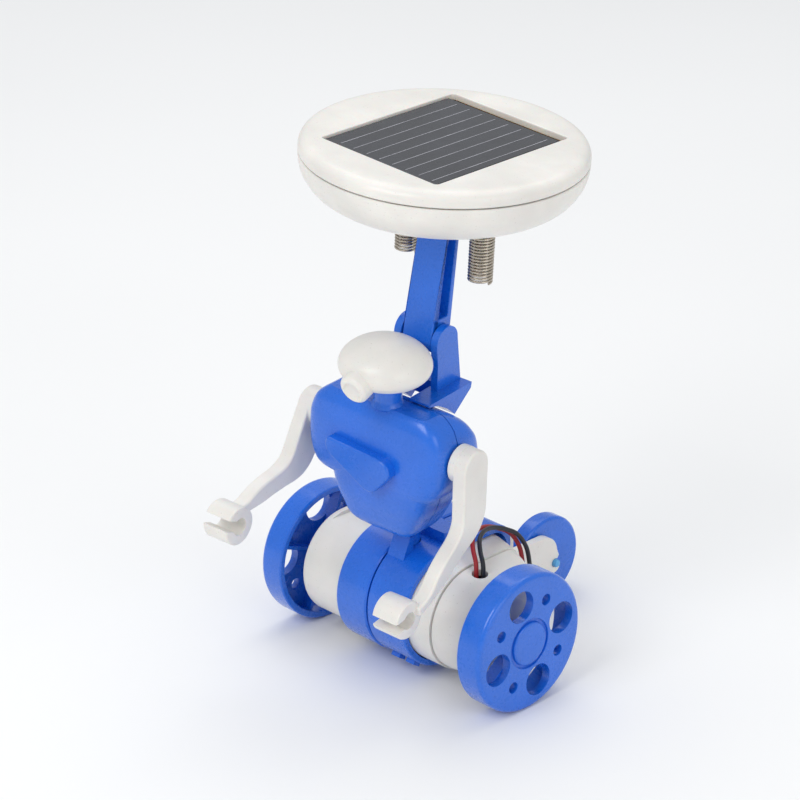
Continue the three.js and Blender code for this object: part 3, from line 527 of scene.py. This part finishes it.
def ring_half(x0, x1, wall, lip):
    inner, inner_back = BARREL_R + GAP, BARREL_BACK + GAP
    outer, back = inner + wall, inner_back + wall
    return cut(housing([(x0, outer - lip, back - lip), (x0 + lip, outer, back), (x1 - lip, outer, back),
                        (x1, outer - lip, back - lip)]),
               housing([(x0 - 1, inner, inner_back), (x1 + 1, inner, inner_back)]))


def make_ring():
    axle = CHASSIS @ Matrix.Translation((0, 0, WHEEL_R))
    left = cut(ring_half(-12, -2.15, 1.7, 0.35), waist_hole())
    placed(softened(left, 0.3), "left_clamp", axle, "chassis", BLUE, ["ring_clamp_left"])
    foot = 14.1
    wedge = prism([(-8.8, foot - 2.6), (-5, foot - 0.5), (-5, foot + 3.2), (-6, foot + 3.4)], -1.6, 3.6)
    block = prism([(1.2, foot), (9.5, foot), (9.2, foot + 1.6), (6.5, foot + 3.2), (1.2, foot + 3.4)],
                  -1.4, 7.6)
    right = ring_half(-1.85, 10, 1.45, 0.3)
    teeth = [spun(box(x, x + 2.6, -1.1, 1.1, -15.9, -14), math.radians(-32)) for x in (0.6, 5.4)]
    right = cut(join(right, wedge, block, *teeth), waist_hole())
    placed(softened(right, 0.3), "right_clamp", axle, "chassis", BLUE, ["ring_clamp_right"])


make_housings()
make_ring()

# ---------------------------------------------------------------- tail
REAR_R = 11
REAR_Y = 42.8
FLANGE_Y = 21.8


def make_tail():
    outline = [(FLANGE_Y, 9.6), (35.5, 9.4), (REAR_Y - 1.5, 8.4)]
    outline += bend((REAR_Y - 1.5, 8.4), (REAR_Y + 0.8, 8.1), (REAR_Y + 1.6, 9.5))
    outline += [(REAR_Y + 0.5, 10)] + arc(REAR_Y, REAR_R, 1.15, -1.1, 0.9 - 2 * math.pi, 24)
    outline += [(REAR_Y + 1.3, 12.8)] + arc(38.6, 14.1, 4.8, 0.1, QUARTER, 14) + [(29, 18.9)]
    outline += bend((29, 18.9), (25.5, 18.9), (FLANGE_Y, 20.5))
    arm = join(prism(outline, 2.5, 4.6), box(-1.5, 8.6, FLANGE_Y, FLANGE_Y + 1.7, 7.6, 26.4))
    for z in (10.5, 23.5):
        arm = cut(arm, shifted(spun(rod(-4, 3, 0.85, "Z"), -QUARTER), 6.4, FLANGE_Y + 1.7, z))
    placed(softened(arm, 0.35), "tail_bracket", CHASSIS, "chassis", WHITE, ["tail_arm"])
    hub = CHASSIS @ Matrix.Translation((0, REAR_Y, REAR_R))
    wheel = lathe([
        (2, 1.05), (2, 1.5), (2.15, 1.6), (2.3, 1.7), (2.3, 2.2), (2.15, 2.35), (2, 2.4), (2, 10.1),
        (1.9, 10.5), (1.6, 10.85), (1.2, 11), (-1.7, 11), (-1.95, 10.9), (-2, 10.6), (-2, 9.6),
        (-1.8, 9.4), (0.2, 9.3), (0.4, 9.1), (0.4, 2.6), (0.2, 2.4),
        (-9.0, 2.1), (-9.2, 1.9), (-9.2, 1.05)], 112, closed=True)
    placed(wheel, "tail_wheel_moulding", hub, "tail_wheel", BLUE, ["rear_wheel"])
    pin = lathe([(-11.1, 0), (-11.05, 0.8), (-10.8, 1.6), (-10.3, 2.2), (-9.9, 2.4), (-9.5, 2.4), (-9.5, 1),
                 (5.2, 1), (5.5, 0.8), (5.6, 0.5), (5.6, 0)], 40)
    placed(pin, "tail_axle", hub, "chassis", BLUE_TIP, ["rear_axle"])


make_tail()


# ---------------------------------------------------------------- torso
SQUARENESS = 6.5
RING_POINTS = 112


def torso_ring(row, middle_x=0.0, shrink=0.0):
    z, half, front, back = row
    middle, depth, power = (front + back) / 2, (back - front) / 2 - shrink, 2 / SQUARENESS
    ring = []
    for i in range(RING_POINTS):
        a = 2 * math.pi * i / RING_POINTS
        c, s = math.cos(a), math.sin(a)
        ring.append((middle_x + math.copysign(abs(c) ** power, c) * (half - shrink),
                     middle + math.copysign(abs(s) ** power, s) * depth, z))
    return ring


TORSO_TOP = 41.5
TORSO_WALL = 1.7
NECK_Y = -10.6
CHEST = [(20.6, 14.4, -13.4, 1.4), (22, 16.8, -14.6, 2.8), (25, 18.4, -15.1, 3.6),
         (29, 19.1, -15.3, 3.8), (33.5, 19.1, -15.3, 2.8), (35.8, 18.7, -15.1, 1.6),
         (38.6, 17.4, -14.7, -0.8), (40.6, 15.2, -13.9, -4.4), (TORSO_TOP, 13.8, -13, -7.4)]
BELLY = [(8.4, 4.5, -8.6, -1), (9.2, 7.4, -11, 0), (11, 9.4, -12.6, 0.8), (14, 11, -13.4, 1.3),
         (17.5, 12.6, -14.2, 1.5), (23, 14, -14.8, 1.7)]


def crest():
    outline = [(-11.6, 31.4), (3.4, 30.6)] + bend((3.4, 30.6), (7, 30), (6.4, 26.8)) + [(3, 22.6)]
    outline += bend((3, 22.6), (1.6, 21), (-1, 22)) + [(-10.4, 27)]
    outline += bend((-10.4, 27), (-13, 28.6), (-11.6, 31.4))[:-1]
    return softened(prism(outline, -17.8, -14.4, "Y"), 0.8, 4, 40)


def torso_skin():
    skin = join(loft([torso_ring(row, TORSO_X) for row in dense(CHEST, 4)]),
                loft([torso_ring(row) for row in dense(BELLY, 4)]))
    chest_room = loft([torso_ring(row, TORSO_X, TORSO_WALL) for row in [
        (22.6, 16.4, -14.2, 2), (26, 18.4, -15.1, 3.4), (33.8, 18.6, -15.1, 2), (38, 16, -13.6, -1.6)]])
    belly_room = loft([torso_ring(row, 0, TORSO_WALL) for row in [
        (11.8, 9.2, -11.8, 0.6), (16, 11.6, -13.6, 1.2), (24, 13.6, -14.6, 1.6)]])
    shoulder = shifted(rod(-22, 22, ARM_PIN_R + 0.15), TORSO_X, SHOULDER[1], SHOULDER[2])
    return cut(skin, join(chest_room, belly_room), shoulder, rod(0, 13, 2.8, "Z"))


def make_torso():
    split = SHOULDER[1]
    front = combine(torso_skin(), [box(-30, 30, -30, split - 0.12, -5, 60)], "INTERSECT")
    neck = lathe([(41.1, 0), (41.1, 3.9), (41.6, 3.7), (42.2, 3.35), (42.8, 3.25), (47.1, 3.25),
                  (47.3, 3.1), (47.3, 1.5), (49.5, 1.5), (49.7, 1.3), (49.7, 0)], 56, "Z")
    front = join(softened(front, 0.3), crest(), shifted(neck, 0, NECK_Y, 0))
    placed(front, "torso_front_shell", UPPER, "torso", BLUE, ["torso_front"])
    back = combine(torso_skin(), [box(-30, 30, split + 0.12, 30, -5, 60)], "INTERSECT")
    placed(softened(back, 0.3), "torso_back_shell", UPPER, "torso", BLUE, ["torso_back"])
    post = lathe([(-3.2, 0), (-3.2, 3.2), (-3, 3.4), (-1.8, 3.4), (-1.6, 3.2), (-1.6, 2.6),
                  (11.8, 2.6), (12, 2.4), (12, 0)], 56, "Z")
    placed(post, "waist_spigot", UPPER, "torso", BLUE, ["waist_post"])


make_torso()


# ---------------------------------------------------------------- head
SNOUT_DROOP = math.radians(20)
HEAD_AHEAD = 1.5


def make_head():
    base = TORSO_TOP + 6.1
    rows = [(base, 6), (base + 0.2, 7.2), (base + 0.7, 8.5), (base + 1.5, 9.6), (base + 2.4, 10.3),
            (base + 3.4, 10.65), (base + 4.2, 10.7), (base + 5.2, 10.5), (base + 6.4, 9.9), (base + 7.6, 8.8),
            (base + 8.8, 7.1), (base + 9.8, 4.9), (base + 10.4, 2.8), (base + 10.66, 1.2)]
    dome = lathe([(base, 0)] + dense(rows, 3) + [(base + 10.75, 0)], 112, "Z")
    snout = lathe([(0, 0), (0, 3.7), (12.9, 3.6), (13.4, 3.4), (13.75, 3), (13.9, 2.7), (13.85, 2.3),
                   (13.5, 2), (13.3, 1.6), (13.3, 0)], 56, "Z")
    turned(snout, Matrix.Translation((0, 1.2, base + 6)) @ Matrix.Rotation(QUARTER + SNOUT_DROOP, 4, "X"))
    head = shifted(join(dome, snout), 0, NECK_Y - HEAD_AHEAD, 0)
    head = cut(head, shifted(rod(base - 1, base + 2.9, 1.8, "Z"), 0, NECK_Y, 0))
    placed(head, "head_dome", UPPER, "head_body", WHITE, ["head"])


make_head()

# ---------------------------------------------------------------- arms
HAND = (-20.9, -30.6)
SLOT_DROOP = math.radians(8)


def arm_shape():
    outline = arc(0, 0, 4.4, 0, math.pi, 28) + [(-3.8, -12.4)]
    outline += bend((-3.8, -12.4), (-3.9, -15.6), (-7.6, -18.2))
    outline += bend((-7.6, -18.2), (-12, -21.6), (-14, -25.2))
    outline += bend((-14, -25.2), (-15.9, -27.4), (-18.9, -28)) + [(-18.3, -30.4)]
    outline += bend((-18.3, -30.4), (-13.1, -28.2), (-7.8, -24.4))
    outline += bend((-7.8, -24.4), (-4, -21.2), (0.6, -18.4))
    outline += bend((0.6, -18.4), (4.5, -15.8), (4.7, -10.8))
    bar = softened(prism(outline, 19.4, 23.1), 0.95, 5, 40)
    boss = lathe([(18, 0), (18, 4.2), (18.2, 4.5), (20, 4.5), (20, 0)], 56)
    pin = rod(14.4, 18.6, ARM_PIN_R)
    knob = lathe([(13, 0), (13, 2.2), (13.3, 2.5), (14.5, 2.5), (14.5, 0)], 40)
    grip = lathe([(14.8, 0), (14.8, 4.2), (15, 4.5), (21.5, 4.6), (21.9, 4.4), (22, 4.1), (22, 0)], 72)
    slot = spun(box(14, 24, -8, 0, -1.3, 1.3), SLOT_DROOP)
    grip = shifted(cut(grip, slot), 0, *HAND)
    clear = shifted(rod(13, 25, 2.1), 0, *HAND)
    return cut(join(bar, grip, boss, pin, knob), clear)


def make_arms():
    placed(arm_shape(), "left_arm_moulding", LEFT_ARM, "left_arm", WHITE, ["arm_left"])
    placed(arm_shape(), "right_arm_moulding", RIGHT_ARM, "right_arm", WHITE, ["arm_right"])


make_arms()

# ---------------------------------------------------------------- bracket and post
PIVOT = (2.4, 54)
PIN_BORE_R = 1.3
EAR = (4.35, 6.2)
DISH_FLOOR = 86


def make_bracket():
    foot = TORSO_TOP + 0.3
    sole = [(-7.2, foot + 0.1), (-4, foot - 0.5), (-0.4, foot - 2.5), (2.6, foot - 5), (8.3, foot - 0.3),
            (8.5, foot + 1.1), (-7.2, foot + 0.6)]
    bridge = [(2.6, foot - 3), (3.6, foot - 3.6), (8.3, foot - 0.3), (8.5, foot + 1.1), (2.6, foot + 0.9)]
    base = join(prism(sole, 3.4, 9.2), prism(sole, -9.2, -3.4), prism(bridge, -4, 4))
    ear = [(-0.5, foot + 0.4), (-0.7, PIVOT[1] - 5)] + arc(*PIVOT, 3.8, math.pi, 0, 28) + [(8.2, foot + 0.6)]
    bracket = join(base, prism(ear, *EAR), prism(ear, -EAR[1], -EAR[0]))
    bracket = cut(bracket, shifted(rod(-5.7, 5.7, PIN_BORE_R), 0, *PIVOT))
    placed(softened(bracket, 0.35), "panel_bracket", UPPER, "torso", BLUE, ["clevis_bracket"])


def make_post():
    top = DISH_FLOOR - 0.3
    side = [(PIVOT[0] - 3.5, PIVOT[1]), (DISC_Y - 1.7, top), (DISC_Y + 2.4, top), (PIVOT[0] + 3.5, PIVOT[1])]
    side += arc(*PIVOT, 3.5, 0, -math.pi, 28)[1:-1]
    channel = [(PIVOT[0] - 2.5, PIVOT[1] + 5), (DISC_Y - 0.7, top - 2), (DISC_Y + 1.4, top - 2),
               (PIVOT[0] + 2.5, PIVOT[1] + 5)]
    post = cut(prism(side, -4.05, 4.05), prism(channel, 1.2, 6), prism(channel, -6, -1.2),
               shifted(rod(-12, 12, PIN_BORE_R), 0, *PIVOT))
    post = join(softened(post, 0.3), shifted(rod(top - 1, DISH_FLOOR + 3.4, 1.6, "Z"), 0, DISC_Y, 0))
    placed(post, "panel_mast", UPPER, "post", BLUE, ["panel_post"])


make_bracket()
make_post()

# ---------------------------------------------------------------- solar head
DISC_R = 32.5
SEAM = 97.2
TOP = 100.8
WINDOW = (35.2, 42.2)
SPRINGS = {"left": 11.4, "right": -11.4}
SPRING_BACK = 1.5
SPRING_FOOT = 69.4


def make_dish():
    f = DISH_FLOOR
    outer = dense([(f, 12), (f + 0.1, 15.6), (f + 1.1, 24.5), (f + 3.3, 29), (f + 6.3, 31.4),
                   (f + 8.8, 32.3), (SEAM - 0.6, DISC_R)], 5)
    inner = [(SEAM - 0.3, DISC_R - 0.05), (SEAM - 0.15, DISC_R - 0.25), (SEAM - 0.15, 30.5),
             (f + 6.6, 29.4), (f + 4.2, 26.6), (f + 2.2, 15), (f + 2, 0)]
    dish = lathe([(f, 0)] + outer + inner, 144, "Z")
    tools = [rod(f - 1, f + 4, 1.75, "Z")]
    collars = []
    for x in SPRINGS.values():
        collar = lathe([(f - 3.4, 0), (f - 3.4, 3.7), (f - 3.2, 3.9), (f - 1, 4.1), (f - 0.1, 4.35),
                        (f + 1, 5), (f + 1, 0)], 48, "Z")
        collars.append(shifted(collar, x, SPRING_BACK, 0))
        tools.append(shifted(rod(f - 5, f + 4, 3.1, "Z"), x, SPRING_BACK, 0))
    placed(cut(join(dish, *collars), *tools), "panel_dish", PANEL, "panel", WHITE,
           ["solar_dish"])


def make_top_shell():
    edge = [(SEAM + 0.15, DISC_R - 0.3), (SEAM + 0.4, DISC_R), (SEAM + 1.2, DISC_R),
            (SEAM + 2.1, DISC_R - 0.25), (SEAM + 2.8, DISC_R - 0.75), (SEAM + 3.3, DISC_R - 1.6),
            (TOP - 0.08, DISC_R - 2.6), (TOP, DISC_R - 3.8)]
    lid = [(TOP, 0), (TOP - 1.6, 0), (TOP - 1.6, 29.1), (SEAM + 0.15, 30.5)]
    shell = lathe(dense(edge, 3) + lid, 144, "Z", closed=True)
    w, d = WINDOW[0] / 2, WINDOW[1] / 2
    corner = 0.8
    window = arc(w - corner, d - corner, corner, 0, QUARTER, 6)
    window += arc(corner - w, d - corner, corner, QUARTER, math.pi, 6)
    window += arc(corner - w, corner - d, corner, math.pi, 3 * QUARTER, 6)
    window += arc(w - corner, corner - d, corner, -QUARTER, 0, 6)
    shell = cut(shell, prism(window, TOP - 4, TOP + 2, "Z"))
    placed(softened(shell, 0.3, 3, 40), "panel_top", PANEL, "panel", WHITE,
           ["solar_top_shell"])


def make_cell():
    low, high = TOP - 1.8, TOP - 0.6
    x0, x1, y0, y1 = -WINDOW[0] / 2 + 0.3, WINDOW[0] / 2 - 1.1, -WINDOW[1] / 2 + 0.3, WINDOW[1] / 2 - 1.8
    cell = softened(box(x0, x1, y0, y1, low, high - 0.04), 0.12, 2)
    placed(cell, "silicon_cell", PANEL, "panel", SILICON, ["solar_cell"])
    count = 8
    first, last = x0 + 0.12 * (x1 - x0), x1 - 0.06 * (x1 - x0)
    for i in range(count):
        x = first + i * (last - first) / (count - 1)
        strip = box(x - 0.1, x + 0.1, y0 + 1.6, y1 - 1.6, high - 0.06, high)
        placed(strip, f"cell_finger_{i + 1}", PANEL, "panel", FINGER)


def coil(x, low, high, radius, wire, turns):
    steps, sides = turns * 28, 8
    rings = []
    for i in range(steps + 1):
        a = 2 * math.pi * turns * i / steps
        z = low + wire + (high - low - 2 * wire) * i / steps
        ring = []
        for k in range(sides):
            b = 2 * math.pi * k / sides
            r = radius - wire + wire * math.cos(b)
            ring.append((x + r * math.cos(a), SPRING_BACK + r * math.sin(a), z + wire * math.sin(b)))
        rings.append(ring)
    return loft(rings)


def make_springs():
    for side, x in SPRINGS.items():
        spring = coil(x, SPRING_FOOT, DISH_FLOOR + 1.6, 2.9, 0.3, 24)
        placed(spring, f"coil_{side}", PANEL, "panel", NICKEL,
               [f"spring_terminal_{side}"], 80)


make_dish()
make_top_shell()
make_cell()
make_springs()


# ---------------------------------------------------------------- CAD pieces that stay
def dress():
    looks = {
        "main_axle": STEEL, "idler_pin": STEEL, "motor_shaft": STEEL, "motor_can": STEEL,
        "tail_screw_lower": STEEL, "tail_screw_upper": STEEL,
        "terminal_screw_left": STEEL, "terminal_screw_right": STEEL,
        "clevis_pin": BLUE, "motor_pinion": BRASS, "lead_tip_red": COPPER, "lead_tip_black": COPPER,
        "axle_gear": ACETAL, "idler_gear": ACETAL, "gear_frame": ACETAL, "axle_spacer_left": ACETAL,
        "axle_spacer_right": ACETAL, "solar_cell_board": BOARD}
    for node, material in looks.items():
        obj = frame["nodes"][node]
        obj.data.materials.clear()
        obj.data.materials.append(material)
        for poly in obj.data.polygons:
            poly.use_smooth = True
        obj.data.set_sharp_from_angle(angle=math.radians(34))


dress()


# ---------------------------------------------------------------- floor and light
def stage():
    size = 3.0
    corners = [(-size, -size, 0), (size, -size, 0), (size, size, 0), (-size, size, 0)]
    floor = mesh_object(corners, [(0, 1, 2, 3)])
    floor.name = "floor"
    mat, tree, shader = node_material("floor_paper", 0.9)
    tree.links.new(ramp(tree, noise(tree, 3, 2), [(0.3, (0.90, 0.90, 0.90)), (0.7, (0.93, 0.93, 0.93))]),
                   shader.inputs["Base Color"])
    floor.data.materials.append(mat)


def area_light(name, location, target, size, power):
    data = bpy.data.lights.new(name, "AREA")
    data.energy = power
    data.size = size
    light = bpy.data.objects.new(name, data)
    light.location = location
    light.rotation_euler = (Vector(target) - Vector(location)).to_track_quat("-Z", "Y").to_euler()
    bpy.context.scene.collection.objects.link(light)


MIDDLE = (0, 0, 0.06)
KEY_WATTS = 3.3
FILL_WATTS = 1.7
TOP_WATTS = 2.8
SKY_STRENGTH = 0.6


def lights():
    area_light("key", (0.05, -0.75, 0.75), MIDDLE, 0.5, KEY_WATTS)
    area_light("fill", (0.9, -0.1, 0.45), MIDDLE, 0.6, FILL_WATTS)
    area_light("top", (-0.2, 0.25, 0.9), MIDDLE, 0.8, TOP_WATTS)
    world = bpy.data.worlds.new("studio")
    world.use_nodes = True
    sky = world.node_tree.nodes["Background"]
    sky.inputs["Color"].default_value = (0.96, 0.98, 1.0, 1)
    sky.inputs["Strength"].default_value = SKY_STRENGTH
    bpy.context.scene.world = world
    bpy.context.scene.view_settings.view_transform = "Standard"


stage()
lights()
